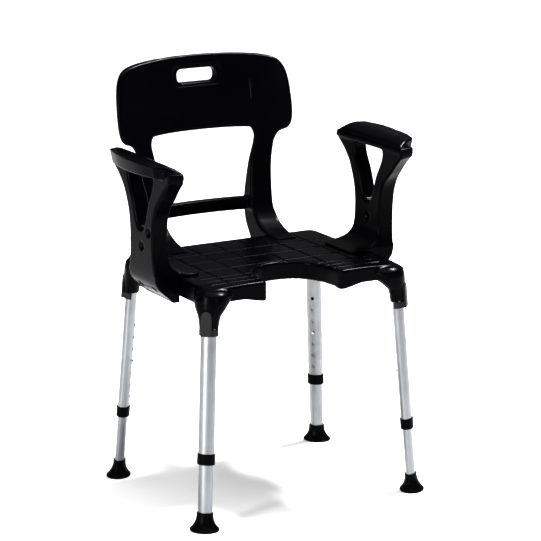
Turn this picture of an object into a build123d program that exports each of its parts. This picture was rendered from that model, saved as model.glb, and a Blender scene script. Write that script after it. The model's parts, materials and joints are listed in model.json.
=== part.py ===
from build123d import *
from math import atan2, cos, sin, sqrt
import os

# Shower chair with a hygiene recess, backrest, armrests and four telescopic legs.
# Millimetres. +Z is up, -Y is the front of the chair and +X is the sitter's left hand side.
# Left and right in the names are those of someone who faces the chair, so right is +X.
# The parts are drawn about the centre of the four feet on the floor. main() then moves
# them along Y, so that the origin is the centre of the whole chair's plan.

# ---------- driving dimensions ----------
SEAT_TOP = 460.0
SKIRT_BOTTOM = 424.0
SEAT_HALF_WIDTH = 214.0
SEAT_FRONT = -157.0
SEAT_REAR = 173.0
SEAT_CORNER = 20.0
SEAT_WALL = 4.0
SEAT_DECK = 4.5
TOP_ROUNDING = 4.0
RECESS_HALF_WIDTH = 80.0
RECESS_BACK = -38.0
TILE_COLUMNS = (-150.0, -90.0, -30.0, 30.0, 90.0, 150.0)
TILE_ROWS = (-130.0, -107.0, -84.0, -28.0, 32.0, 92.0)
GROOVE_WIDTH = 2.4
GROOVE_DEPTH = 0.8
SIDE_SKIRT_BOTTOM = 406.0
SIDE_SKIRT = (48.0, 135.0)
RIB_WALL = 3.0
RIB_BOTTOM = 432.0
RIB_ROWS = (-110.0, -15.0, 55.0, 120.0)

FOOT_X = 233.0
FOOT_Y = 183.0
TOP_X = 209.5
TOP_Y = 161.0
TOP_Z = 373.0
HOLE_PITCH = 25.0
HOLE_COUNT = 7
BUTTON_LEVEL = 243.0
BUTTON_RADIUS = 3.0

OUTER_TUBE = (22.4, 31.6)
OUTER_WALL = 1.4
OUTER_FROM = 130.0
OUTER_TO = 427.0
INNER_TUBE = (18.6, 27.6)
INNER_WALL = 1.3
INNER_FROM = 9.0
INNER_TO = 305.0
SOCKET_FROM = 386.0
PEG_LEVEL = 404.0
PEG_RADIUS = 3.0
CLIP_FROM = 373.8
CLIP_TO = 422.0
TONGUE_HALF = 10.5
TONGUE_NEAR = 14.5
TONGUE_FAR = 18.4

BACK_RADIUS = 555.0
BACK_REACH = 256.0
BACK_SWEEP = 48.0
BACK_WALL = 4.4
PANEL_LOW = 665.0
PANEL_HIGH = 825.0
POCKET_BOTTOM = 500.0
CROSSBAR = (500.0, 526.0)
CROSSBAR_SETBACK = 4.0
SLOT_SIZE = (88.0, 28.0)
SLOT_CORNER = 11.0
SLOT_LEVEL = 782.0
HEEL_BOTTOM = 430.0
SCREW_RADIUS = 2.5
SCREW_LEVEL = 437.0
SCREW_SPACING = 56.0
BOLT_RADIUS = 3.0
BOLT_LEVEL = 441.0
BOLT_X = 122.0
BOLT_HEAD_RADIUS = 5.0
BOLT_SEAT_Y = 190.2
SCREW_HEAD_RADIUS = 4.8
SCREW_SEAT_X = 230.0
ARM_BOTTOM = 412.0
ARM_HALF = 56.0
ARM_FLANGE_X = 165.0
ARM_STEM_TOP = 678.0
PAD_INNER = 237.0
PAD_OUTER = 298.0
PAD_END = 119.0
PAD_END_SLOPE = 0.62
PAD_BOW = 357.5
PAD_LEAN = 6.0
PAD_LOW = 663.0
PAD_HIGH = 692.0


# ---------- helpers ----------
def oval(size, grow=0.0):
    """Tube section: size is (radial, tangential), in the leg's own plane."""
    return Ellipse(size[0] / 2 + grow, size[1] / 2 + grow)


def oval_rod(size, low, high, grow=0.0):
    return extrude(Plane.XY.offset(low) * oval(size, grow), high - low)


def rod(radius, start, direction, length):
    return extrude(Plane(origin=start, z_dir=direction) * Circle(radius), length)


def box_between(low, high):
    size = [b - a for a, b in zip(low, high)]
    return Pos(*low) * Box(*size, align=(Align.MIN, Align.MIN, Align.MIN))


# ---------- leg frame: +Z up the tube, +X away from the middle of the chair ----------
SPLAY = atan2(sqrt((FOOT_X - TOP_X) ** 2 + (FOOT_Y - TOP_Y) ** 2), TOP_Z)
UP_IN_LEG = Vector(sin(SPLAY), 0, cos(SPLAY))
FLOOR_IN_LEG = Plane(origin=(0, 0, 0), x_dir=(cos(SPLAY), 0, -sin(SPLAY)), z_dir=UP_IN_LEG)


def leg_location(side, end):
    """side is -1 left or 1 right, end is -1 front or 1 rear."""
    foot = Vector(side * FOOT_X, end * FOOT_Y, 0)
    axis = (Vector(side * TOP_X, end * TOP_Y, TOP_Z) - foot).normalized()
    outward = Vector(side * (FOOT_X - TOP_X), end * (FOOT_Y - TOP_Y), 0)
    outward = (outward - axis * outward.dot(axis)).normalized()
    return Plane(origin=foot, x_dir=outward, z_dir=axis).location


def make_outer_tube():
    tube = oval_rod(OUTER_TUBE, OUTER_FROM, OUTER_TO)
    tube -= oval_rod(OUTER_TUBE, OUTER_FROM - 1, OUTER_TO + 1, -OUTER_WALL)
    for step in range(HOLE_COUNT):
        level = BUTTON_LEVEL + (step - HOLE_COUNT // 2) * HOLE_PITCH
        tube -= rod(BUTTON_RADIUS + 0.3, (-OUTER_TUBE[0], 0, level), (1, 0, 0), OUTER_TUBE[0])
    tube -= rod(PEG_RADIUS + 0.3, (0, 0, PEG_LEVEL), (1, 0, 0), OUTER_TUBE[0])
    return tube


def make_inner_tube():
    tube = oval_rod(INNER_TUBE, INNER_FROM, INNER_TO)
    tube -= oval_rod(INNER_TUBE, INNER_FROM - 1, INNER_TO + 1, -INNER_WALL)
    tube -= rod(BUTTON_RADIUS + 0.1, (-INNER_TUBE[0], 0, BUTTON_LEVEL), (1, 0, 0), INNER_TUBE[0])
    return tube


def make_end_collar():
    size = (26.0, 34.6)
    low, high, lip = OUTER_FROM - 2.5, OUTER_FROM + 18.5, OUTER_FROM
    collar = oval_rod(size, low, high)
    collar = fillet(collar.edges().filter_by(GeomType.ELLIPSE), 1.0)
    collar -= oval_rod(OUTER_TUBE, lip, high + 1, 0.05)
    collar -= oval_rod(INNER_TUBE, low - 1, lip + 1, 0.25)
    return collar


def make_tube_plug():
    flange = oval_rod(INNER_TUBE, INNER_TO, INNER_TO + 6, 0.4)
    flange = fillet(flange.edges().group_by(Axis.Z)[-1], 1.5)
    return flange + oval_rod(INNER_TUBE, INNER_TO - 14, INNER_TO, -INNER_WALL - 0.05)


def make_snap_button():
    tip = -OUTER_TUBE[0] / 2 - 3.5
    shoulder = -7.3
    button = rod(BUTTON_RADIUS, (tip, 0, BUTTON_LEVEL), (1, 0, 0), shoulder - tip)
    button = fillet(button.edges().group_by(Axis.X)[0], 2.0)
    return button + rod(4.2, (shoulder, 0, BUTTON_LEVEL), (1, 0, 0), 1.2)


def make_button_spring():
    """A folded strip: the front leaf carries the button and the rear leaf rests on the tube."""
    strip, half_width = 0.6, 4.0
    front, low_front, rear = -6.1, -1.5, 7.2
    top, knee, turn = BUTTON_LEVEL + 7, BUTTON_LEVEL - 7, BUTTON_LEVEL - 53
    middle, bend = (rear + low_front) / 2, (rear - low_front) / 2

    def leaf(inward):
        start, finish = low_front + inward, rear - inward
        path = Polyline((front + inward, top), (front + inward, knee), (start, turn))
        path += ThreePointArc((start, turn), (middle, turn - bend + inward), (finish, turn))
        return path + Line((finish, turn), (finish, top))

    ends = Line((front, top), (front + strip, top)) + Line((rear, top), (rear - strip, top))
    face = make_face(Plane.XZ * (leaf(0) + leaf(strip) + ends))
    return extrude(face, half_width, both=True)


def clip_tongue(near, far, grow=0.0):
    """Round topped tongue of the clip; grown, it is the recess that the tongue lies in."""
    low, high = CLIP_FROM, CLIP_TO + grow
    bend = TONGUE_HALF + grow
    face = Pos(0, (low + high - bend) / 2) * Rectangle(2 * bend, high - bend - low)
    face += Pos(0, high - bend) * Circle(bend)
    return extrude(Plane.YZ.offset(near) * face, far - near)


def make_leg_clip():
    """Grey U clip under the socket, with a tongue and a peg that locks the tube."""
    ring = oval_rod((28.0, 37.6), CLIP_FROM, SOCKET_FROM - 0.3)
    height = SOCKET_FROM - 0.3 - CLIP_FROM
    slot = oval_rod(OUTER_TUBE, CLIP_FROM - 1, SOCKET_FROM + 1, 0.3)
    slot += Pos(-20, 0, CLIP_FROM - 1) * Box(
        40, OUTER_TUBE[1] + 0.6, height + 3, align=(Align.CENTER, Align.CENTER, Align.MIN)
    )
    ring -= slot
    ring -= Pos(-25, 0, CLIP_FROM - 1) * Box(40, 60, 30, align=(Align.CENTER, Align.CENTER, Align.MIN))
    tongue = clip_tongue(TONGUE_NEAR, TONGUE_FAR)
    tongue = fillet(tongue.edges().group_by(Axis.X)[-1], 1.6)
    foot = Pos(12.6, 0, CLIP_FROM + height / 2) * Box(6, 2 * TONGUE_HALF, height)
    foot -= slot
    peg = rod(PEG_RADIUS, (OUTER_TUBE[0] / 2 - OUTER_WALL - 0.2, 0, PEG_LEVEL), (1, 0, 0), 6)
    return ring + foot + tongue + peg


def make_foot():
    """Rubber ferrule: a flat rim on the floor that flares up into a neck round the tube."""
    rim = extrude(FLOOR_IN_LEG * Ellipse(24, 28.5), 4)
    rim = fillet(rim.edges().filter_by(GeomType.ELLIPSE), 1.2)
    sections = []
    for level, radial, tangential, tilt in (
        (3.5, 46.5, 55.5, 1.0),
        (7.0, 41.0, 50.0, 0.8),
        (13.0, 33.0, 41.5, 0.5),
        (21.0, 26.5, 35.0, 0.2),
        (34.0, 23.6, 32.2, 0.0),
    ):
        angle = SPLAY * tilt
        plane = Plane(
            origin=(0, 0, level), x_dir=(cos(angle), 0, -sin(angle)), z_dir=(sin(angle), 0, cos(angle))
        )
        sections.append(plane * Ellipse(radial / 2, tangential / 2))
    foot = rim + loft(sections)
    return foot - oval_rod(INNER_TUBE, INNER_FROM - 1.5, 40, 0.05)


def make_foot_washer():
    return oval_rod(INNER_TUBE, INNER_FROM - 1.5, INNER_FROM, -0.5)


# ---------- seat ----------
def seat_plan(inset=0.0):
    depth = SEAT_REAR - SEAT_FRONT - 2 * inset
    middle = (SEAT_REAR + SEAT_FRONT) / 2
    return Pos(0, middle) * RectangleRounded(2 * (SEAT_HALF_WIDTH - inset), depth, SEAT_CORNER - inset)


def recess_plan(grow=0.0):
    """U shaped cut in the front edge, open towards the sitter's legs."""
    wide, back, front = RECESS_HALF_WIDTH + grow, RECESS_BACK + grow, SEAT_FRONT - 10
    side = [(wide, front), (wide, SEAT_FRONT + 6), (wide - 4, -102), (wide - 17, -68), (wide - 43, -46)]
    curve = Spline(side[1:] + [(0, back)] + [(-x, y) for x, y in reversed(side[1:])])
    closing = Polyline((-wide, SEAT_FRONT + 6), (-wide, front), (wide, front), (wide, SEAT_FRONT + 6))
    return make_face(curve + closing)


def socket_body():
    sections = []
    for level, shift, radial, tangential in (
        (SOCKET_FROM, 0, 29, 37),
        (SOCKET_FROM + 14, 0, 30, 39),
        (SOCKET_FROM + 26, -0.5, 34, 45),
        (SOCKET_FROM + 38, -6, 46, 58),
        (SOCKET_FROM + 52, -15, 64, 70),
        (SOCKET_FROM + 63, -20, 70, 70),
        (SOCKET_FROM + 69, -22, 64, 62),
    ):
        sections.append(Pos(shift, 0, level) * Ellipse(radial / 2, tangential / 2))
    return loft(sections)


def tile_grooves():
    """Shallow grooves that part the raised tiles of the deck."""
    low, high = SEAT_TOP - GROOVE_DEPTH, SEAT_TOP + 10
    half = GROOVE_WIDTH / 2
    cuts = [box_between((-186, y - half, low), (186, y + half, high)) for y in TILE_ROWS]
    cuts += [box_between((x - half, -140, low), (x + half, 156, high)) for x in TILE_COLUMNS]
    return cuts


def make_seat(corners):
    height = SEAT_TOP - SKIRT_BOTTOM
    body = extrude(Plane.XY.offset(SKIRT_BOTTOM) * (seat_plan() - recess_plan()), height)
    body = fillet(body.edges().group_by(Axis.Z)[-1], TOP_ROUNDING)
    hollow = seat_plan(SEAT_WALL) - recess_plan(SEAT_WALL)
    body -= extrude(Plane.XY.offset(SKIRT_BOTTOM - 1) * hollow, height - SEAT_DECK + 1)
    inside = extrude(Plane.XY.offset(RIB_BOTTOM) * hollow, SEAT_TOP - SEAT_DECK + 0.5 - RIB_BOTTOM)
    half = RIB_WALL / 2
    for x in TILE_COLUMNS:
        body += inside & box_between((x - half, -200, SKIRT_BOTTOM), (x + half, 200, SEAT_TOP))
    for y in RIB_ROWS:
        body += inside & box_between((-250, y - half, SKIRT_BOTTOM), (250, y + half, SEAT_TOP))
    for side in (-1, 1):
        strip = Box(SEAT_WALL, SIDE_SKIRT[1] - SIDE_SKIRT[0], SKIRT_BOTTOM + 2 - SIDE_SKIRT_BOTTOM)
        across = side * (SEAT_HALF_WIDTH - SEAT_WALL / 2)
        body += Pos(across, sum(SIDE_SKIRT) / 2, (SKIRT_BOTTOM + 2 + SIDE_SKIRT_BOTTOM) / 2) * strip
    for corner in corners.values():
        body += corner * socket_body()
    for corner in corners.values():
        body -= corner * oval_rod(OUTER_TUBE, SOCKET_FROM - 1, OUTER_TO, 0.05)
        body -= corner * rod(PEG_RADIUS + 0.3, (5, 0, PEG_LEVEL), (1, 0, 0), 20)
        body -= corner * clip_tongue(TONGUE_NEAR - 0.4, TONGUE_FAR + 12, 0.4)
    for side in (-1, 1):
        for y in (-SCREW_SPACING / 2, SCREW_SPACING / 2):
            body -= rod(SCREW_RADIUS + 0.05, (side * 200, y, SCREW_LEVEL), (side, 0, 0), 20)
        body -= rod(BOLT_RADIUS + 0.05, (side * BOLT_X, 160, BOLT_LEVEL), (0, 1, 0), 20)
    return body - tile_grooves()


# ---------- backrest ----------
def back_slab(shift):
    """The bent sheet of the backrest: its side profile turned about an upright axis."""
    front = [(134, 461), (162, 464), (191, 472), (215, 486), (231, 508), (237, 530), (242, 560),
             (247.5, 600), (256, PANEL_LOW), (266, 745), (277, 830)]
    rear = [(304, 830), (287, 745), (270, 680), (262, 640), (266, 592), (271, 540), (271, 500),
            (262, 474), (246, 452), (232, 436)]
    axis_y = BACK_REACH - BACK_RADIUS
    front = [(y + shift, z) for y, z in front]
    profile = Spline(front) + Line(front[-1], rear[0]) + Spline(rear)
    profile += Polyline(rear[-1], (134 + shift, HEEL_BOTTOM), front[0])
    face = make_face(Plane.YZ * profile)
    face = Rot(0, 0, -BACK_SWEEP / 2) * (Pos(0, -axis_y, 0) * face)
    return Pos(0, axis_y, 0) * revolve(face, Axis.Z, BACK_SWEEP)


def back_outline(inset=0.0):
    """Front view of the whole moulding without its windows; inset thins it by a wall."""
    limb = [(148, 400), (147, 470), (146, 520), (149, 590), (155, 628), (160, 648)]
    shoulder = [(160, 648), (172, 660 + inset / 2), (187, 665 + inset), (195.5, 678), (198.5, 702),
                (197, 735), (192, 768), (183, 791 - inset / 2), (164, 808 - inset)]
    crown = [(90, 820 - inset), (0, PANEL_HIGH - inset)]
    half = [(x - inset, z) for x, z in limb]
    bulge = [(x - inset, z) for x, z in shoulder] + [(x - inset * x / 179, z) for x, z in crown]
    right = Spline(half) + Spline(bulge, tangents=[(1, 0.9), (-1, 0)])
    left = mirror(right, Plane.YZ)
    return make_face(right + left + Line((-half[0][0], half[0][1]), half[0]))


def back_windows(grow=0.0):
    """Opening above the crossbar, opening below it, and the grip slot."""
    def gap(points, top_mid):
        half = [(x + grow, z) for x, z in points[:-1]] + [(points[-1][0] + grow, points[-1][1] + grow)]
        side = Spline(half)
        top = Spline(half[-1], (0, top_mid + grow), (-half[-1][0], half[-1][1]))
        base = Line((-half[0][0], half[0][1]), half[0])
        return make_face(side + mirror(side, Plane.YZ) + top + base)

    upper = gap([(101, CROSSBAR[1] - grow), (102, 545), (107, 600), (117, 650), (115, 668)], 673)
    lower = gap([(98, 400), (98, 440), (99, 465), (100.5, CROSSBAR[0])], CROSSBAR[0])
    slot = RectangleRounded(SLOT_SIZE[0] + 2 * grow, SLOT_SIZE[1] + 2 * grow, SLOT_CORNER + grow)
    slot = Pos(0, SLOT_LEVEL) * slot
    return upper + lower + slot


def make_backrest():
    solid = extrude(Plane.XZ * (back_outline() - back_windows()), 200, both=True)
    body = back_slab(0) & (Pos(0, 250, 0) * solid)
    inner = extrude(Plane.XZ * (back_outline(BACK_WALL) - back_windows(BACK_WALL)), 200, both=True)
    pocket = back_slab(BACK_WALL + 0.5) & (Pos(0, 250, 0) * inner)
    pocket -= box_between((-300, 0, 0), (300, 500, POCKET_BOTTOM))
    body -= Pos(0, 0.01, 0) * pocket
    bar_level = sum(CROSSBAR) / 2
    bar_front = Pos(0, BACK_REACH - BACK_RADIUS, bar_level) * Cylinder(BACK_RADIUS - CROSSBAR_SETBACK, 50)
    body -= bar_front & box_between((-101, 150, 480), (101, 300, 535))
    body -= box_between((-300, 0, 0), (300, SEAT_REAR + 0.3, SEAT_TOP + 0.1))
    for side in (-1, 1):
        body -= rod(BOLT_RADIUS + 0.2, (side * BOLT_X, 160, BOLT_LEVEL), (0, 1, 0), 60)
        body -= rod(BOLT_HEAD_RADIUS + 1.5, (side * BOLT_X, BOLT_SEAT_Y, BOLT_LEVEL), (0, 1, 0), 60)
    return body


def make_backrest_bolts():
    bolts = []
    for side in (-1, 1):
        shank = rod(BOLT_RADIUS, (side * BOLT_X, 163, BOLT_LEVEL), (0, 1, 0), BOLT_SEAT_Y - 163)
        head = rod(BOLT_HEAD_RADIUS, (side * BOLT_X, BOLT_SEAT_Y, BOLT_LEVEL), (0, 1, 0), 5)
        socket = Plane(origin=(side * BOLT_X, BOLT_SEAT_Y + 2.8, BOLT_LEVEL), z_dir=(0, 1, 0))
        head -= socket * extrude(RegularPolygon(2.5, 6), 3)
        bolts.append(shank + head)
    return Compound(bolts)


# ---------- armrests ----------
def arm_side():
    """Side view of the forked stem: a front limb and a rear limb that spread under the pad."""
    base = [(0, ARM_BOTTOM), (ARM_HALF, ARM_BOTTOM), (ARM_HALF, 466)]
    front = [base[-1], (51.5, 480), (49.5, 500), (48.5, 522), (49, 548), (53, 575), (64, 602), (82, 624),
             (100, 640), (114, 652)]
    rear = [base[-1], (50.5, 480), (47.5, 500), (46, 522), (45.5, 548), (50, 575), (61, 602), (76, 624),
            (92, 640), (108, 652)]
    cap = [(119, 662), (117, ARM_STEM_TOP), (0, ARM_STEM_TOP)]
    front_edge = Polyline(base) + Spline(front) + Polyline([front[-1]] + cap)
    rear_edge = Polyline(base) + Spline(rear) + Polyline([rear[-1]] + cap)
    face = make_face(rear_edge + mirror(front_edge, Plane.YZ))
    fork = [(0, 551), (10, 555), (16, 565), (24, 590), (35, 615), (46, 635), (50, 650), (45, 659), (0, 661)]
    opening = Spline(fork[:-1], tangents=[(1, 0), (-1, 0.2)]) + Line(fork[-2], fork[-1])
    return face - make_face(opening + mirror(opening, Plane.YZ))


def arm_front():
    """Front view: a bracket outside the skirt, a flange on the deck and the stem."""
    outer = [(228, ARM_BOTTOM), (236, 421), (252, 435), (262, 448), (266, 465), (267, 495), (268, 535),
             (268.5, 600), (268, ARM_STEM_TOP)]
    inner = [(238, ARM_STEM_TOP), (237, 660), (235, 600), (235, 520), (234, 500), (232, 490), (227, 481),
             (219, 474), (209, 469), (196, 466), (168, 465)]
    flange = [inner[-1], (ARM_FLANGE_X, 463), (ARM_FLANGE_X, SEAT_TOP + 0.05),
              (SEAT_HALF_WIDTH + 0.1, SEAT_TOP + 0.05), (SEAT_HALF_WIDTH + 0.1, ARM_BOTTOM), outer[0]]
    return make_face(Spline(outer) + Line(outer[-1], inner[0]) + Spline(inner) + Polyline(flange))


def arm_plan():
    side = Polyline((ARM_FLANGE_X, 0), (ARM_FLANGE_X, 42), (173, 53), (186, ARM_HALF), (231, ARM_HALF),
                    (234, 120), (270, 120), (270, 0))
    return make_face(side + mirror(side, Plane.XZ))


def make_arm_pad():
    """The rail: a broad pad with slanted ends, bowed and leaning outwards, rounded along its inner edge."""
    reach = PAD_END_SLOPE * (PAD_OUTER - PAD_INNER)
    plan = Polyline((PAD_INNER, PAD_END), (PAD_OUTER, PAD_END - reach), (PAD_OUTER, reach - PAD_END),
                    (PAD_INNER, -PAD_END), (PAD_INNER, PAD_END))
    section = Polyline((225, 655), (225, PAD_LOW), (PAD_OUTER + 5, PAD_LOW), (PAD_OUTER + 5, PAD_HIGH),
                       (268, PAD_HIGH))
    section += Spline((268, PAD_HIGH), (258, 689.5), (250, 685.5), (243, 681), (237, 674), (225, 655))
    height = PAD_HIGH - PAD_LOW
    bow = Cone(PAD_BOW - PAD_LEAN, PAD_BOW, height)
    pad = extrude(Plane.XY * make_face(plan), 800)
    pad &= extrude(Plane.XZ * make_face(section), 200, both=True)
    return pad & (Pos(PAD_OUTER - PAD_BOW, 0, PAD_LOW + height / 2) * bow)


def make_armrest():
    blank = extrude(Plane.YZ * arm_side(), 400)
    blank &= extrude(Plane.XZ * arm_front(), 200, both=True)
    blank &= extrude(Plane.XY * arm_plan(), 800)
    blank += make_arm_pad()
    for y in (-SCREW_SPACING / 2, SCREW_SPACING / 2):
        blank -= rod(SCREW_RADIUS + 0.2, (210, y, SCREW_LEVEL), (1, 0, 0), 40)
        blank -= rod(SCREW_HEAD_RADIUS + 0.7, (SCREW_SEAT_X, y, SCREW_LEVEL), (1, 0, 0), 40)
    return blank


def make_armrest_screws():
    """Two cross recessed pan head screws for the right armrest."""
    screws = []
    for y in (-SCREW_SPACING / 2, SCREW_SPACING / 2):
        shank = rod(SCREW_RADIUS, (204, y, SCREW_LEVEL), (1, 0, 0), SCREW_SEAT_X - 204)
        head = rod(SCREW_HEAD_RADIUS, (SCREW_SEAT_X, y, SCREW_LEVEL), (1, 0, 0), 3.4)
        head = fillet(head.edges().group_by(Axis.X)[-1], 1.2)
        for size in ((1.1, 5), (5, 1.1)):
            head -= Pos(SCREW_SEAT_X + 3.4, y, SCREW_LEVEL) * Box(3, *size)
        screws.append(shank + head)
    return Compound(screws)


def main():
    os.makedirs("parts", exist_ok=True)
    corners = {
        "front_left": leg_location(-1, -1),
        "front_right": leg_location(1, -1),
        "rear_left": leg_location(-1, 1),
        "rear_right": leg_location(1, 1),
    }
    leg_parts = {
        "outer_tube": make_outer_tube(),
        "inner_tube": make_inner_tube(),
        "end_collar": make_end_collar(),
        "tube_plug": make_tube_plug(),
        "snap_button": make_snap_button(),
        "button_spring": make_button_spring(),
        "leg_clip": make_leg_clip(),
        "foot": make_foot(),
        "foot_washer": make_foot_washer(),
    }
    arm = make_armrest()
    screws = make_armrest_screws()
    nodes = {
        "seat_shell": make_seat(corners),
        "backrest": make_backrest(),
        "backrest_bolts": make_backrest_bolts(),
        "armrest_right": arm,
        "armrest_left": mirror(arm, Plane.YZ),
        "armrest_screws_right": screws,
        "armrest_screws_left": mirror(screws, Plane.YZ),
    }
    for part, shape in leg_parts.items():
        for corner, place in corners.items():
            nodes[f"{part}_{corner}"] = place * shape
    front = nodes["foot_front_left"].bounding_box().min.Y
    rear = nodes["backrest"].bounding_box().max.Y
    for name, shape in nodes.items():
        export_step(Pos(0, -(front + rear) / 2, 0) * shape, f"parts/{name}.step")


main()
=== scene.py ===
import json
import math

import bpy
import numpy as np
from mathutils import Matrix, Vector

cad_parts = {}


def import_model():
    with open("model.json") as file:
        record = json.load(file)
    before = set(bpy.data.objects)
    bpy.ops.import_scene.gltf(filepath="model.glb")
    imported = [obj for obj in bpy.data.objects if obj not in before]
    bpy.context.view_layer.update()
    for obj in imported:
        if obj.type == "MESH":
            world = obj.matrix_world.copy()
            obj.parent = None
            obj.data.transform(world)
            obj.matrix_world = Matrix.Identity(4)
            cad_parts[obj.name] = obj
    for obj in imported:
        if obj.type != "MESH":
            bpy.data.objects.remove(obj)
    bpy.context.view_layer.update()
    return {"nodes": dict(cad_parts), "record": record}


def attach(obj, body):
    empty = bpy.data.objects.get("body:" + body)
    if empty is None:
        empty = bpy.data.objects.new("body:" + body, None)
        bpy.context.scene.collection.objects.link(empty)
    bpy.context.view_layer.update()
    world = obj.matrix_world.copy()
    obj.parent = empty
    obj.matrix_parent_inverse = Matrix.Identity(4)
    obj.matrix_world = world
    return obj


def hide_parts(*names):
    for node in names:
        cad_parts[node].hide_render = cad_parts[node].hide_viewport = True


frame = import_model()

# Millimetres in the chair's own frame: origin between the four feet, -Y front, +Z up.
# ROW_Y moves that frame onto the row's frame.
ROW_Y = -46.97754
MM = 0.001


# ---------- outlines ----------
def curve(points, steps=8):
    """Catmull-Rom line through the points."""
    p = np.array(points, float)
    out = []
    for i in range(len(p) - 1):
        b, c = p[i], p[i + 1]
        a = p[i - 1] if i else 2 * b - c
        d = p[i + 2] if i + 2 < len(p) else 2 * c - b
        slope, bend, twist = c - a, 2 * a - 5 * b + 4 * c - d, 3 * b - a - 3 * c + d
        for t in np.arange(steps) / steps:
            out.append(0.5 * (2 * b + slope * t + bend * t * t + twist * t**3))
    return [tuple(q) for q in out + [p[-1]]]


def both_sides(half):
    """Closes an outline from its +x half, listed from the centre line round to the centre line."""
    return half + [(-x, y) for x, y in reversed(half)]


def polygon_field(outline, a, b):
    """Signed distance to a closed outline, negative inside."""
    best = np.full(a.shape, 1e12)
    inside = np.zeros(a.shape, bool)
    for i, (x0, y0) in enumerate(outline):
        x1, y1 = outline[(i + 1) % len(outline)]
        ex, ey = x1 - x0, y1 - y0
        length = ex * ex + ey * ey
        if length < 1e-9:
            continue
        t = np.clip(((a - x0) * ex + (b - y0) * ey) / length, 0, 1)
        best = np.minimum(best, (a - x0 - ex * t) ** 2 + (b - y0 - ey * t) ** 2)
        if ey:
            inside ^= ((y0 > b) != (y1 > b)) & (a < x0 + (b - y0) * ex / ey)
    return np.where(inside, -1.0, 1.0) * np.sqrt(best)


class Outline:
    """A closed outline's signed distance, kept in a table one millimetre apart."""

    def __init__(self, outline, margin=60.0, step=1.0):
        p = np.array(outline)
        self.low = p.min(0) - margin
        self.step = step
        count = np.ceil((p.max(0) + margin - self.low) / step).astype(int) + 1
        grid = [self.low[i] + step * np.arange(count[i]) for i in range(2)]
        self.table = polygon_field(outline, *np.meshgrid(*grid, indexing="ij"))

    def __call__(self, a, b):
        u = (np.asarray(a, float) - self.low[0]) / self.step
        v = (np.asarray(b, float) - self.low[1]) / self.step
        u, v = np.broadcast_arrays(u, v)
        u = np.clip(u, 0, self.table.shape[0] - 1.001)
        v = np.clip(v, 0, self.table.shape[1] - 1.001)
        i, j = u.astype(int), v.astype(int)
        u, v = u - i, v - j
        t = self.table
        near = t[i, j] * (1 - u) + t[i + 1, j] * u
        far = t[i, j + 1] * (1 - u) + t[i + 1, j + 1] * u
        return near * (1 - v) + far * v


# ---------- solids as signed distances ----------
def both(a, b, r):
    """What is inside both, with its edges rounded by r."""
    return np.minimum(np.maximum(a, b), -r) + np.hypot(np.maximum(a + r, 0), np.maximum(b + r, 0))


def either(a, b, r):
    return -both(-a, -b, r)


def without(a, b, r):
    return both(a, -b, r)


def step_up(x, low, high):
    t = np.clip((x - low) / (high - low), 0, 1)
    return t * t * (3 - 2 * t)


def rounded_box(a, b, half_a, half_b, r):
    u, v = np.abs(a) - half_a + r, np.abs(b) - half_b + r
    return np.minimum(np.maximum(u, v), 0) + np.hypot(np.maximum(u, 0), np.maximum(v, 0)) - r


def lines(low, high, step, fine=()):
    """Grid lines; each entry of fine is (centre, reach, step)."""
    marks = set(np.round(np.arange(low, high + step / 2, step), 3))
    for centre, reach, small in fine:
        marks = {m for m in marks if abs(m - centre) > reach}
        marks |= set(np.round(centre + small * np.arange(-int(reach / small), int(reach / small) + 1), 3))
    marks = sorted(marks)
    kept = [marks[0]]
    for m in marks[1:]:
        if m - kept[-1] > 0.2:
            kept.append(m)
    return np.array(kept)


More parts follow.
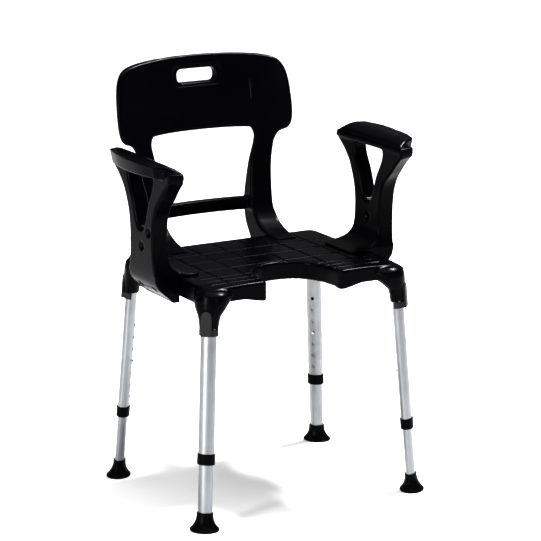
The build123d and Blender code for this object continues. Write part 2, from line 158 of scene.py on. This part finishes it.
def skin(axes, solid, passes=3):
    """Surface nets: points and four sided faces of the surface where solid(x, y, z) is zero."""
    x, y, z = axes
    f = solid(x[:, None, None], y[None, :, None], z[None, None, :])
    f = np.broadcast_to(f, (len(x), len(y), len(z))).astype(float)
    inside = f < 0
    cells = tuple(n - 1 for n in f.shape)
    total = np.zeros(cells + (3,))
    count = np.zeros(cells)
    crossings = []
    for d in range(3):
        a = [slice(None)] * 3
        b = [slice(None)] * 3
        a[d], b[d] = slice(0, -1), slice(1, None)
        f0, f1 = f[tuple(a)], f[tuple(b)]
        crossed = inside[tuple(a)] != inside[tuple(b)]
        crossings.append(crossed)
        index = np.argwhere(crossed)
        t = f0[crossed] / (f0[crossed] - f1[crossed])
        point = np.empty((len(index), 3))
        for k, line in enumerate(axes):
            point[:, k] = line[index[:, k]]
        point[:, d] += t * (axes[d][index[:, d] + 1] - axes[d][index[:, d]])
        others = [k for k in range(3) if k != d]
        for da in (0, 1):
            for db in (0, 1):
                cell = index.copy()
                cell[:, others[0]] -= da
                cell[:, others[1]] -= db
                fits = np.all((cell >= 0) & (cell < cells), axis=1)
                c = cell[fits]
                np.add.at(total, (c[:, 0], c[:, 1], c[:, 2]), point[fits])
                np.add.at(count, (c[:, 0], c[:, 1], c[:, 2]), 1)
    used = count > 0
    number = np.full(cells, -1)
    number[used] = np.arange(used.sum())
    points = total[used] / count[used][:, None]
    where = np.argwhere(used)
    room = np.stack([np.diff(axes[k])[where[:, k]] for k in range(3)], 1)
    faces = []
    for d in range(3):
        index = np.argwhere(crossings[d])
        e, g = [(1, 2), (2, 0), (0, 1)][d]
        fits = (index[:, e] > 0) & (index[:, g] > 0) & (index[:, e] < cells[e]) & (index[:, g] < cells[g])
        index = index[fits]
        corner = []
        for de, dg in ((-1, -1), (0, -1), (0, 0), (-1, 0)):
            c = index.copy()
            c[:, e] += de
            c[:, g] += dg
            corner.append(number[c[:, 0], c[:, 1], c[:, 2]])
        quad = np.stack(corner, 1)
        flip = ~inside[index[:, 0], index[:, 1], index[:, 2]]
        quad[flip] = quad[flip][:, ::-1]
        faces.append(quad)
    start = points.copy()
    small = 0.05
    for _ in range(passes):
        p = [points[:, k] for k in range(3)]
        value = solid(*p)
        slope = np.empty_like(points)
        for k in range(3):
            high, low = list(p), list(p)
            high[k], low[k] = p[k] + small, p[k] - small
            slope[:, k] = (solid(*high) - solid(*low)) / (2 * small)
        size = np.maximum((slope**2).sum(1), 0.2)
        points = points - slope * (value / size)[:, None]
        points = start + np.clip(points - start, -0.8 * room, 0.8 * room)
    return points, np.concatenate(faces)


def piece(name, points, faces, body, nodes, material):
    mesh = bpy.data.meshes.new(name)
    p = (np.asarray(points) + [0, ROW_Y, 0]) * MM
    mesh.vertices.add(len(p))
    mesh.vertices.foreach_set("co", p.ravel())
    mesh.loops.add(faces.size)
    mesh.loops.foreach_set("vertex_index", faces.ravel())
    mesh.polygons.add(len(faces))
    mesh.polygons.foreach_set("loop_start", np.arange(len(faces)) * 4)
    mesh.polygons.foreach_set("use_smooth", np.ones(len(faces), bool))
    mesh.update(calc_edges=True)
    mesh.validate()
    mesh.materials.append(material)
    obj = bpy.data.objects.new(name, mesh)
    bpy.context.scene.collection.objects.link(obj)
    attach(obj, body)
    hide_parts(*nodes)


# ---------- leg frames ----------
FOOT = (233.0, 183.0)
TOP = (209.5, 161.0, 373.0)
CORNERS = {"front_left": (-1, -1), "front_right": (1, -1), "rear_left": (-1, 1), "rear_right": (1, 1)}


def leg_frame(side, end):
    foot = Vector((side * FOOT[0], end * FOOT[1], 0))
    up = (Vector((side * TOP[0], end * TOP[1], TOP[2])) - foot).normalized()
    out = Vector((side * (FOOT[0] - TOP[0]), end * (FOOT[1] - TOP[1]), 0))
    out = (out - up * out.dot(up)).normalized()
    return foot, out, up.cross(out), up


# ---------- seat ----------
SEAT_TOP, SKIRT = 460.0, 424.0
SEAT_HALF = (214.0, 165.0)
SEAT_MIDDLE = 8.0
recess_side = [(80, -151), (76, -102), (63, -68), (37, -46)]
recess_rim = recess_side + [(0, -38)] + [(-x, y) for x, y in reversed(recess_side)]
recess = Outline([(80, -190)] + curve(recess_rim) + [(-80, -190)])
# Leg socket from the mouth up: level, shift outward, width outward, width across.
SOCKET = np.array(
    [
        (386, 0, 29, 37), (400, 0, 30, 39), (412, -0.5, 34, 45), (424, -6, 46, 58), (438, -15, 64, 70),
        (449, -20, 70, 70), (455, -22, 64, 62),
    ],
    float,
)
OUTER_TUBE, OUTER_TO = (22.4, 31.6), 427.0
ROWS = (-130.0, -107.0, -84.0, -28.0, 32.0, 92.0)
COLUMNS = (-150.0, -90.0, -30.0, 30.0, 90.0, 150.0)


def seat_plan(x, y):
    edge = rounded_box(x, y - SEAT_MIDDLE, SEAT_HALF[0], SEAT_HALF[1], 20)
    return without(edge, recess(x, y), 9)


def groove(x, y):
    """Depth of the channels between the raised tiles."""
    depth = np.zeros(np.broadcast(x, y).shape)
    across = step_up(y, -143, -137) * step_up(-y, -158, -152)
    along = step_up(x, -190, -184) * step_up(-x, -190, -184)
    for line in COLUMNS:
        depth = np.maximum(depth, np.exp(-((x - line) / 2.2) ** 2) * across)
    for line in ROWS:
        away = y - line
        width = np.where(away > 0, 2.9, 1.8)
        depth = np.maximum(depth, 1.25 * np.exp(-(away / width) ** 2) * along)
    return 1.5 * depth


def seat_bottom(x, y):
    """Lower edge of the skirt: deep behind the armrest bracket and arched along the front."""
    side = step_up(np.abs(x), 194, 206) * step_up(y, 30, 50)
    front = step_up(-y, 135, 150)
    arch = -2 + 8 * step_up(np.abs(x), 85, 135)
    return SKIRT - 18 * side + front * arch


def seat_top(x, y):
    dip = 3.0 * step_up(np.abs(x), 120, 215) * step_up(-y, 110, 160)
    return SEAT_TOP - dip - groove(x, y)


def along_leg(x, y, z, side, end):
    """The same places measured outward from, across and up along a leg."""
    foot, *axes = leg_frame(side, end)
    x, y = x - foot[0], y - foot[1]
    return [x * axis[0] + y * axis[1] + z * axis[2] for axis in axes]


def socket_field(x, y, z, side, end):
    u, v, s = along_leg(x, y, z, side, end)
    shift, radial, tangential = (np.interp(s, SOCKET[:, 0], SOCKET[:, k]) for k in (1, 2, 3))
    a, b = radial / 2, tangential / 2
    wall = (np.sqrt(((u - shift) / a) ** 2 + (v / b) ** 2) - 1) * np.minimum(a, b)
    ends = np.maximum(SOCKET[0, 0] - s, s - 457)
    tongue = np.maximum(rounded_box(v, s - 398, 10.9, 24.4, 10), 14.1 - u)
    return without(both(wall, ends, np.where(s < 420, 1.5, 7)), tongue, 0.5)


def socket_bore(x, y, z, side, end):
    """Oval bore that the outer tube fills and the inner tube slides up into."""
    u, v, s = along_leg(x, y, z, side, end)
    a, b = OUTER_TUBE[0] / 2 + 0.1, OUTER_TUBE[1] / 2 + 0.1
    wall = (np.sqrt((u / a) ** 2 + (v / b) ** 2) - 1) * np.minimum(a, b)
    return np.maximum(wall, np.maximum(384 - s, s - OUTER_TO))


def seat_solid(x, y, z):
    plan = seat_plan(x, y)
    top = z - seat_top(x, y)
    body = both(both(plan, top, 6), seat_bottom(x, y) - z, 1.5)
    hollow = both(both(plan + 4.2, top + 5, 3), 395 - z, 0.1)
    ribs = 1e3
    for line in COLUMNS:
        ribs = np.minimum(ribs, np.abs(x - line))
    for line in ROWS[2:]:
        ribs = np.minimum(ribs, np.abs(y - line))
    hollow = without(hollow, both(ribs - 1.6, SKIRT + 8 - z, 0.5), 0.8)
    body = without(body, hollow, 0.8)
    for side, end in CORNERS.values():
        body = either(body, socket_field(x, y, z, side, end), 4)
    for side, end in CORNERS.values():
        body = without(body, socket_bore(x, y, z, side, end), 0.3)
    return body


# ---------- backrest ----------
BACK_AXIS = 256.0 - 555.0
front_side = [
    (120, 460.6), (134, 461.5), (162, 464), (191, 472), (215, 486), (231, 508), (237, 530),
    (242, 560), (247.5, 600), (256, 665), (266, 745), (274, 800), (277, 828),
]
rear_side = [
    (303, 828), (297, 800), (287, 745), (270, 680), (262, 640), (266, 592), (271, 540), (271, 500),
    (262, 474), (246, 452), (232, 431),
]
back_profile = Outline(
    curve(front_side) + curve(rear_side) + [(173.5, 431), (173.5, 460.6)]
)
back_edge = [
    (147.5, 440), (147, 470), (146, 520), (149, 590), (155, 628), (160, 645), (170, 658),
    (186, 664.5), (195.5, 678), (198.5, 702), (197.5, 735), (194, 768), (187.5, 790), (174, 806.5),
    (148, 815), (98, 821), (45, 824), (0, 825),
]
back_half = [(0, 400), (148, 400), (147.5, 440)] + curve(back_edge)
back_plan = Outline(both_sides(back_half))
upper_side = [
    (101, 526), (102, 545), (107, 600), (115, 640), (117, 655), (113, 667), (104, 670.5),
    (60, 672.5), (0, 673),
]
lower_side = [(98, 380), (98, 440), (99, 465), (100.5, 497), (97, 500)]
upper_window = Outline(both_sides([(0, 526)] + curve(upper_side)))
lower_window = Outline(both_sides([(0, 380)] + curve(lower_side) + [(0, 500)]))
UPRIGHT_GROOVE = 113
SLOT_LEVEL, SLOT_CORNER = 782, 11
SLOT_HALF = (44, 14)


def back_solid(x, y, z):
    radius = np.hypot(x, y - BACK_AXIS)
    depth = radius + BACK_AXIS
    face = np.interp(z, [p[1] for p in front_side], [p[0] for p in front_side])
    dish = 3.2 * (1 - step_up(rounded_box(x, z - SLOT_LEVEL, 58, 24, 16), -7, 0)) * (z > 700)
    groove_line = 2.4 * np.exp(-((x - UPRIGHT_GROOVE) / 2.2) ** 2)
    groove_line = groove_line * step_up(z, 722, 728) * step_up(-z, -768, -762)
    sheet = back_profile(depth - (dish + groove_line) * (depth < face + 12), z)
    behind = step_up(depth - face, 2, 14)
    edge = np.where(z > 500, 7 + 9 * behind * step_up(z, 560, 700), 5)
    plan = back_plan(x, z)
    body = both(plan, sheet, edge)
    openings = np.minimum(upper_window(x, z), lower_window(x, z))
    body = without(body, openings, 5)
    body = without(body, rounded_box(x, z - SLOT_LEVEL, *SLOT_HALF, SLOT_CORNER), 3.5)
    bar = np.maximum(np.maximum(np.abs(x) - 99, np.abs(z - 513) - 20), radius - 551)
    body = without(body, bar, 2.5)
    pocket = both(plan + 4.6, np.maximum(back_profile(depth - 5.2, z) - 6, face + 5.2 - depth), 1)
    solid_part = np.minimum(openings - 4.6, rounded_box(x, z - SLOT_LEVEL, 48.6, 18.6, 12))
    pocket = without(pocket, solid_part, 1)
    pocket = np.maximum(pocket, 530 - z)
    return without(body, pocket, 1.2)


# ---------- armrest ----------
arm_base = [(0, 412), (56, 412), (56, 460)]
arm_cap = [(119, 676), (0, 676)]
front_limb = curve([
    (56, 466), (52, 480), (49.5, 500), (48.5, 522), (49, 548), (53, 575), (64, 602), (80, 622),
    (91.5, 635), (106, 649), (116, 657), (119, 664),
])
rear_limb = curve([
    (56, 466), (51, 480), (47.5, 500), (46, 522), (45.5, 548), (50, 577), (60, 602), (70, 620),
    (80, 631), (91, 641.5), (104, 651), (114, 658), (119, 665),
])
arm_side = Outline(
    arm_base + rear_limb + arm_cap + [(-y, z) for y, z in reversed(arm_base + front_limb + arm_cap)]
)
fork_side = [
    (0, 551), (10, 554), (18.5, 572), (25, 591), (31, 607), (38, 620), (45, 633), (49.5, 646),
    (49, 656), (43, 660.5), (0, 661),
]
arm_fork = Outline(both_sides(curve(fork_side)))
outer_face = [
    (228, 412), (236, 421), (252, 435), (262, 448), (266, 465), (267.5, 495), (268.5, 535),
    (268.5, 600), (268, 676),
]
inner_face = [
    (237, 676), (237, 660), (235, 600), (235, 520), (234, 500), (232, 490), (227, 481), (219, 474),
    (209, 469), (196, 466), (180, 464.6), (165, 464),
]
arm_front = Outline(curve(outer_face) + curve(inner_face) + [(165, 460.1), (214.2, 460.1), (214.2, 412)])
plan_side = [(0, 165), (42, 165), (53, 173), (56, 186), (56, 231), (121, 235), (121, 275), (0, 275)]
arm_plan = Outline(both_sides(plan_side))
pad_plan = Outline(
    curve([(287, -88), (295.5, -45), (297.8, 0), (295.5, 45), (287, 88)], steps=4) + [(236, 120), (236, -120)]
)
PAD_CROWN = ([225, 236, 243, 250, 258, 268, 285, 299], [674, 677, 681.5, 685.5, 689, 691.3, 691.8, 691.5])
PAD_DROP = ([-119, -88, -62, -11, 36], [5.0, 5.0, 3.0, 2.0, 0.0])


def pad_top(x, y):
    """Height of the pad: crowned across and a little lower towards the front, more so at its outer edge."""
    drop = np.interp(y, *PAD_DROP) * np.interp(x, [240, 275], [0.2, 1.0])
    return np.interp(x, *PAD_CROWN) - drop


DIMPLES = ((274, -4, 518), (229, -4, 519), (274, -34, 549))
DIMPLE_RADIUS = 11
SCREW_PLACES, SCREW_LEVEL = (-28, 28), 437
SCREW_HOLE_RADIUS, SCREW_SEAT = 5.5, 230


def arm_solid(x, y, z):
    slant = 9 * step_up(z, 585, 620) * np.clip((268 - x) / 33, 0, 1) * step_up(-y, 20, 60)
    side = arm_side(y + slant, z)
    front = arm_front(x, z)
    body = both(front, side, np.where(z > 470, 4.5, 2.0))
    body = both(body, arm_plan(y, x), np.where(z > 500, 6, 1.5))
    body = without(body, arm_fork(y, z), 7.5)
    lean = 0.22 * np.clip(692 - z, 0, 40) * step_up(x, 240, 285)
    pad = both(pad_plan(x + lean, y), z - pad_top(x, y), np.interp(x, [237, 252, 268, 285], [13, 10, 4, 1.5]))
    pad = both(pad, 663 - z, 3)
    body = either(body, pad, 4)
    for cx, cy, cz in DIMPLES:
        dimple = np.sqrt((x - cx) ** 2 + (y - cy) ** 2 + (z - cz) ** 2) - DIMPLE_RADIUS
        body = without(body, dimple, 1.5)
    for cy in SCREW_PLACES:
        hole = np.hypot(y - cy, z - SCREW_LEVEL) - SCREW_HOLE_RADIUS
        body = without(body, np.maximum(hole, SCREW_SEAT - x), 0.6)
    return body


# ---------- materials ----------
def material(name, base, rough, metallic=0.0, specular=0.5):
    m = bpy.data.materials.new(name)
    m.use_nodes = True
    nodes = m.node_tree.nodes
    shader = nodes["Principled BSDF"]
    shader.inputs["Base Color"].default_value = (*base, 1)
    shader.inputs["Roughness"].default_value = rough
    shader.inputs["Metallic"].default_value = metallic
    shader.inputs["Specular IOR Level"].default_value = specular
    return m, nodes, m.node_tree.links, shader


def noise(nodes, links, scale, detail=4.0, stretch=None):
    place = nodes.new("ShaderNodeTexCoord")
    texture = nodes.new("ShaderNodeTexNoise")
    texture.inputs["Scale"].default_value = scale
    texture.inputs["Detail"].default_value = detail
    if stretch:
        mapping = nodes.new("ShaderNodeMapping")
        mapping.inputs["Scale"].default_value = stretch
        links.new(place.outputs["Object"], mapping.inputs["Vector"])
        links.new(mapping.outputs["Vector"], texture.inputs["Vector"])
    else:
        links.new(place.outputs["Object"], texture.inputs["Vector"])
    return texture.outputs["Fac"]


def spread(nodes, links, source, low, high, out_low, out_high):
    ramp = nodes.new("ShaderNodeMapRange")
    for key, value in (("From Min", low), ("From Max", high), ("To Min", out_low), ("To Max", out_high)):
        ramp.inputs[key].default_value = value
    links.new(source, ramp.inputs["Value"])
    return ramp.outputs["Result"]


def tint(nodes, links, source, dark, light):
    mix = nodes.new("ShaderNodeMix")
    mix.data_type = "RGBA"
    mix.inputs["A"].default_value = (*dark, 1)
    mix.inputs["B"].default_value = (*light, 1)
    links.new(source, mix.inputs["Factor"])
    return mix.outputs["Result"]


def bump(nodes, links, shader, source, strength, distance):
    node = nodes.new("ShaderNodeBump")
    node.inputs["Strength"].default_value = strength
    node.inputs["Distance"].default_value = distance
    links.new(source, node.inputs["Height"])
    links.new(node.outputs["Normal"], shader.inputs["Normal"])


def moulded(name, dark, light, edge, rough, specular):
    """Moulded plastic: fine spark texture, slow colour variation and convex edges a little lighter in colour.
    """
    m, nodes, links, shader = material(name, dark, rough, specular=specular)
    slow = noise(nodes, links, 9, 3)
    fine = noise(nodes, links, 1300, 2)
    scuff = noise(nodes, links, 45, 5)
    colour = tint(nodes, links, spread(nodes, links, slow, 0.3, 0.7, 0, 1), dark, light)
    geometry = nodes.new("ShaderNodeNewGeometry")
    # Convex edges, found by pointiness, get the lighter edge colour mixed into the base colour.
    lighter_edges = spread(nodes, links, geometry.outputs["Pointiness"], 0.52, 0.60, 0, 0.6)
    mix = nodes.new("ShaderNodeMix")
    mix.data_type = "RGBA"
    mix.inputs["B"].default_value = (*edge, 1)
    links.new(lighter_edges, mix.inputs["Factor"])
    links.new(colour, mix.inputs["A"])
    links.new(mix.outputs["Result"], shader.inputs["Base Color"])
    links.new(spread(nodes, links, scuff, 0.3, 0.75, rough - 0.015, rough + 0.02), shader.inputs["Roughness"])
    bump(nodes, links, shader, fine, 0.06, 0.0002)
    return m


def anodised(name):
    """Satin anodised tube: fine drawn lines along the tube and a soft mottle."""
    m, nodes, links, shader = material(name, (0.75, 0.76, 0.78), 0.3, metallic=1.0)
    drawn = noise(nodes, links, 900, 3, (1, 1, 0.012))
    mottle = noise(nodes, links, 25, 4)
    mottled = spread(nodes, links, mottle, 0.3, 0.7, 0, 1)
    colour = tint(nodes, links, mottled, (0.25, 0.255, 0.265), (0.29, 0.295, 0.305))
    links.new(colour, shader.inputs["Base Color"])
    links.new(spread(nodes, links, drawn, 0.25, 0.75, 0.28, 0.42), shader.inputs["Roughness"])
    bump(nodes, links, shader, drawn, 0.10, 0.0001)
    return m


def steel(name):
    m, nodes, links, shader = material(name, (0.6, 0.6, 0.6), 0.25, metallic=1.0)
    grain = noise(nodes, links, 1500, 2)
    links.new(spread(nodes, links, grain, 0.3, 0.7, 0.18, 0.34), shader.inputs["Roughness"])
    links.new(tint(nodes, links, grain, (0.5, 0.5, 0.5), (0.68, 0.68, 0.67)), shader.inputs["Base Color"])
    return m


def rubber(name):
    m, nodes, links, shader = material(name, (0.002, 0.002, 0.002), 0.30, specular=0.06)
    fine = noise(nodes, links, 900, 5)
    dust = noise(nodes, links, 40, 5)
    dusty = spread(nodes, links, dust, 0.45, 0.8, 0, 1)
    colour = tint(nodes, links, dusty, (0.0015, 0.0015, 0.0020), (0.004, 0.004, 0.0045))
    links.new(colour, shader.inputs["Base Color"])
    links.new(spread(nodes, links, dust, 0.3, 0.7, 0.26, 0.36), shader.inputs["Roughness"])
    bump(nodes, links, shader, fine, 0.2, 0.0002)
    return m


LOOKS = {
    "seat_plastic": moulded(
        "seat_plastic", (0.0010, 0.0009, 0.0020), (0.0016, 0.0015, 0.0028), (0.004, 0.004, 0.006), 0.26, 0.06
    ),
    "black_plastic": moulded(
        "black_plastic", (0.0015, 0.0015, 0.0022), (0.0022, 0.0022, 0.0030), (0.004, 0.004, 0.005), 0.26, 0.05
    ),
    "grey_plastic": moulded(
        "grey_plastic", (0.016, 0.016, 0.0165), (0.021, 0.021, 0.0215), (0.035, 0.035, 0.035), 0.40, 0.15
    ),
    "tube_aluminium": anodised("tube_aluminium"),
    "black_rubber": rubber("black_rubber"),
    "steel": steel("steel"),
}
slots = {s["node"]: s["material_slot"] for s in frame["record"]["subparts"]}
for node, obj in frame["nodes"].items():
    obj.data.materials.clear()
    obj.data.materials.append(LOOKS[slots[node]])


# ---------- seat, backrest and armrests ----------
near_wall = [(c, 9, 1.5) for c in (-210, 210)]
seat_x = lines(-238, 238, 3.0, [(c, 6, 0.75) for c in COLUMNS] + near_wall)
seat_y = lines(-186, 184, 3.0, [(c, 6, 0.75) for c in ROWS] + [(-155, 6, 1.5), (171, 6, 1.5)])
seat_z = lines(383, 463, 2.4, [(457, 6, 0.8)])
plastic = LOOKS["seat_plastic"]
points, faces = skin((seat_x, seat_y, seat_z), seat_solid)
piece("seat", points, faces, "frame", ["seat_shell"], plastic)

back_x = lines(-202, 202, 2.4, [(-44, 6, 1.2), (44, 6, 1.2), (UPRIGHT_GROOVE, 6, 0.8)])
back_y = np.concatenate([lines(118, 172, 2.4), lines(174, 308, 2.4, [(269, 8, 1.2)])])
back_z = lines(427, 829, 2.4, [(462, 4, 0.8), (768, 6, 1.2), (796, 6, 1.2)])
points, faces = skin((back_x, back_y, back_z), back_solid)
piece("backrest_moulding", points, faces, "frame", ["backrest"], plastic)

arm_x = lines(162, 302, 2.0)
arm_y = lines(-124, 124, 2.0)
arm_z = lines(408, 696, 2.0, [(461, 3, 0.6)])
points, faces = skin((arm_x, arm_y, arm_z), arm_solid)
piece("armrest_moulding_right", points, faces, "frame", ["armrest_right"], plastic)
points, faces = points * [-1, 1, 1], faces[:, ::-1]
piece("armrest_moulding_left", points, faces, "frame", ["armrest_left"], plastic)


# ---------- floor, light and camera ----------
def floor_piece():
    mesh = bpy.data.meshes.new("floor")
    reach = 40.0
    corners = [(reach * x, reach * y, 0) for x, y in ((-1, -1), (1, -1), (1, 1), (-1, 1))]
    mesh.from_pydata(corners, [], [(0, 1, 2, 3)])
    obj = bpy.data.objects.new("floor", mesh)
    bpy.context.scene.collection.objects.link(obj)
    m, nodes, links, shader = material("floor", (0.9, 0.9, 0.9), 0.7, specular=0.1)
    cloud = noise(nodes, links, 3, 3)
    links.new(tint(nodes, links, cloud, (0.90, 0.90, 0.90), (0.93, 0.93, 0.93)), shader.inputs["Base Color"])
    mesh.materials.append(m)


def area_light(name, place, target, size, power):
    data = bpy.data.lights.new(name, "AREA")
    data.shape = "RECTANGLE"
    data.size, data.size_y = size
    data.energy = power
    obj = bpy.data.objects.new(name, data)
    bpy.context.scene.collection.objects.link(obj)
    obj.location = place
    obj.rotation_euler = (Vector(target) - Vector(place)).to_track_quat("-Z", "Y").to_euler()


def world(seen, given):
    w = bpy.data.worlds.new("studio")
    bpy.context.scene.world = w
    w.use_nodes = True
    nodes, links = w.node_tree.nodes, w.node_tree.links
    output = nodes["World Output"]
    plain = nodes["Background"]
    plain.inputs["Color"].default_value = (given, given, given, 1)
    backdrop = nodes.new("ShaderNodeBackground")
    backdrop.inputs["Color"].default_value = (seen, seen, seen, 1)
    path = nodes.new("ShaderNodeLightPath")
    mix = nodes.new("ShaderNodeMixShader")
    links.new(path.outputs["Is Camera Ray"], mix.inputs["Fac"])
    links.new(plain.outputs["Background"], mix.inputs[1])
    links.new(backdrop.outputs["Background"], mix.inputs[2])
    links.new(mix.outputs["Shader"], output.inputs["Surface"])


def sun_light(power, angle):
    data = bpy.data.lights.new("overhead", "SUN")
    data.energy = power
    data.angle = angle
    obj = bpy.data.objects.new("overhead", data)
    bpy.context.scene.collection.objects.link(obj)


floor_piece()
world(seen=1.0, given=0.26)
sun_light(power=3.2, angle=1.2)
area_light("top", (1.7, 0.1, 3.4), (0, 0, 0.55), (0.5, 0.5), 260)
area_light("left", (-3.4, -1.2, 0.9), (0, 0, 0.5), (0.4, 1.6), 90)
area_light("front", (-0.6, -3.6, 1.6), (0, 0, 0.5), (0.5, 0.5), 8)

CAMERA_PLACE = (-2245.0, -3943.6, 1580.6)
DISPLAY_GAMMA = 0.72
azimuth, elevation = math.radians(-29.82), math.radians(14.16)
camera_data = bpy.data.cameras.new("camera")
camera_data.lens = 159.3
camera_data.sensor_width = 36
camera_data.clip_end = 100
camera = bpy.data.objects.new("camera", camera_data)
bpy.context.scene.collection.objects.link(camera)
camera.location = ((np.array(CAMERA_PLACE) + [0, ROW_Y, 0]) * MM).tolist()
camera.rotation_euler = (math.pi / 2 - elevation, 0, azimuth)
bpy.context.scene.camera = camera
bpy.context.scene.view_settings.view_transform = "Standard"
bpy.context.scene.view_settings.gamma = DISPLAY_GAMMA
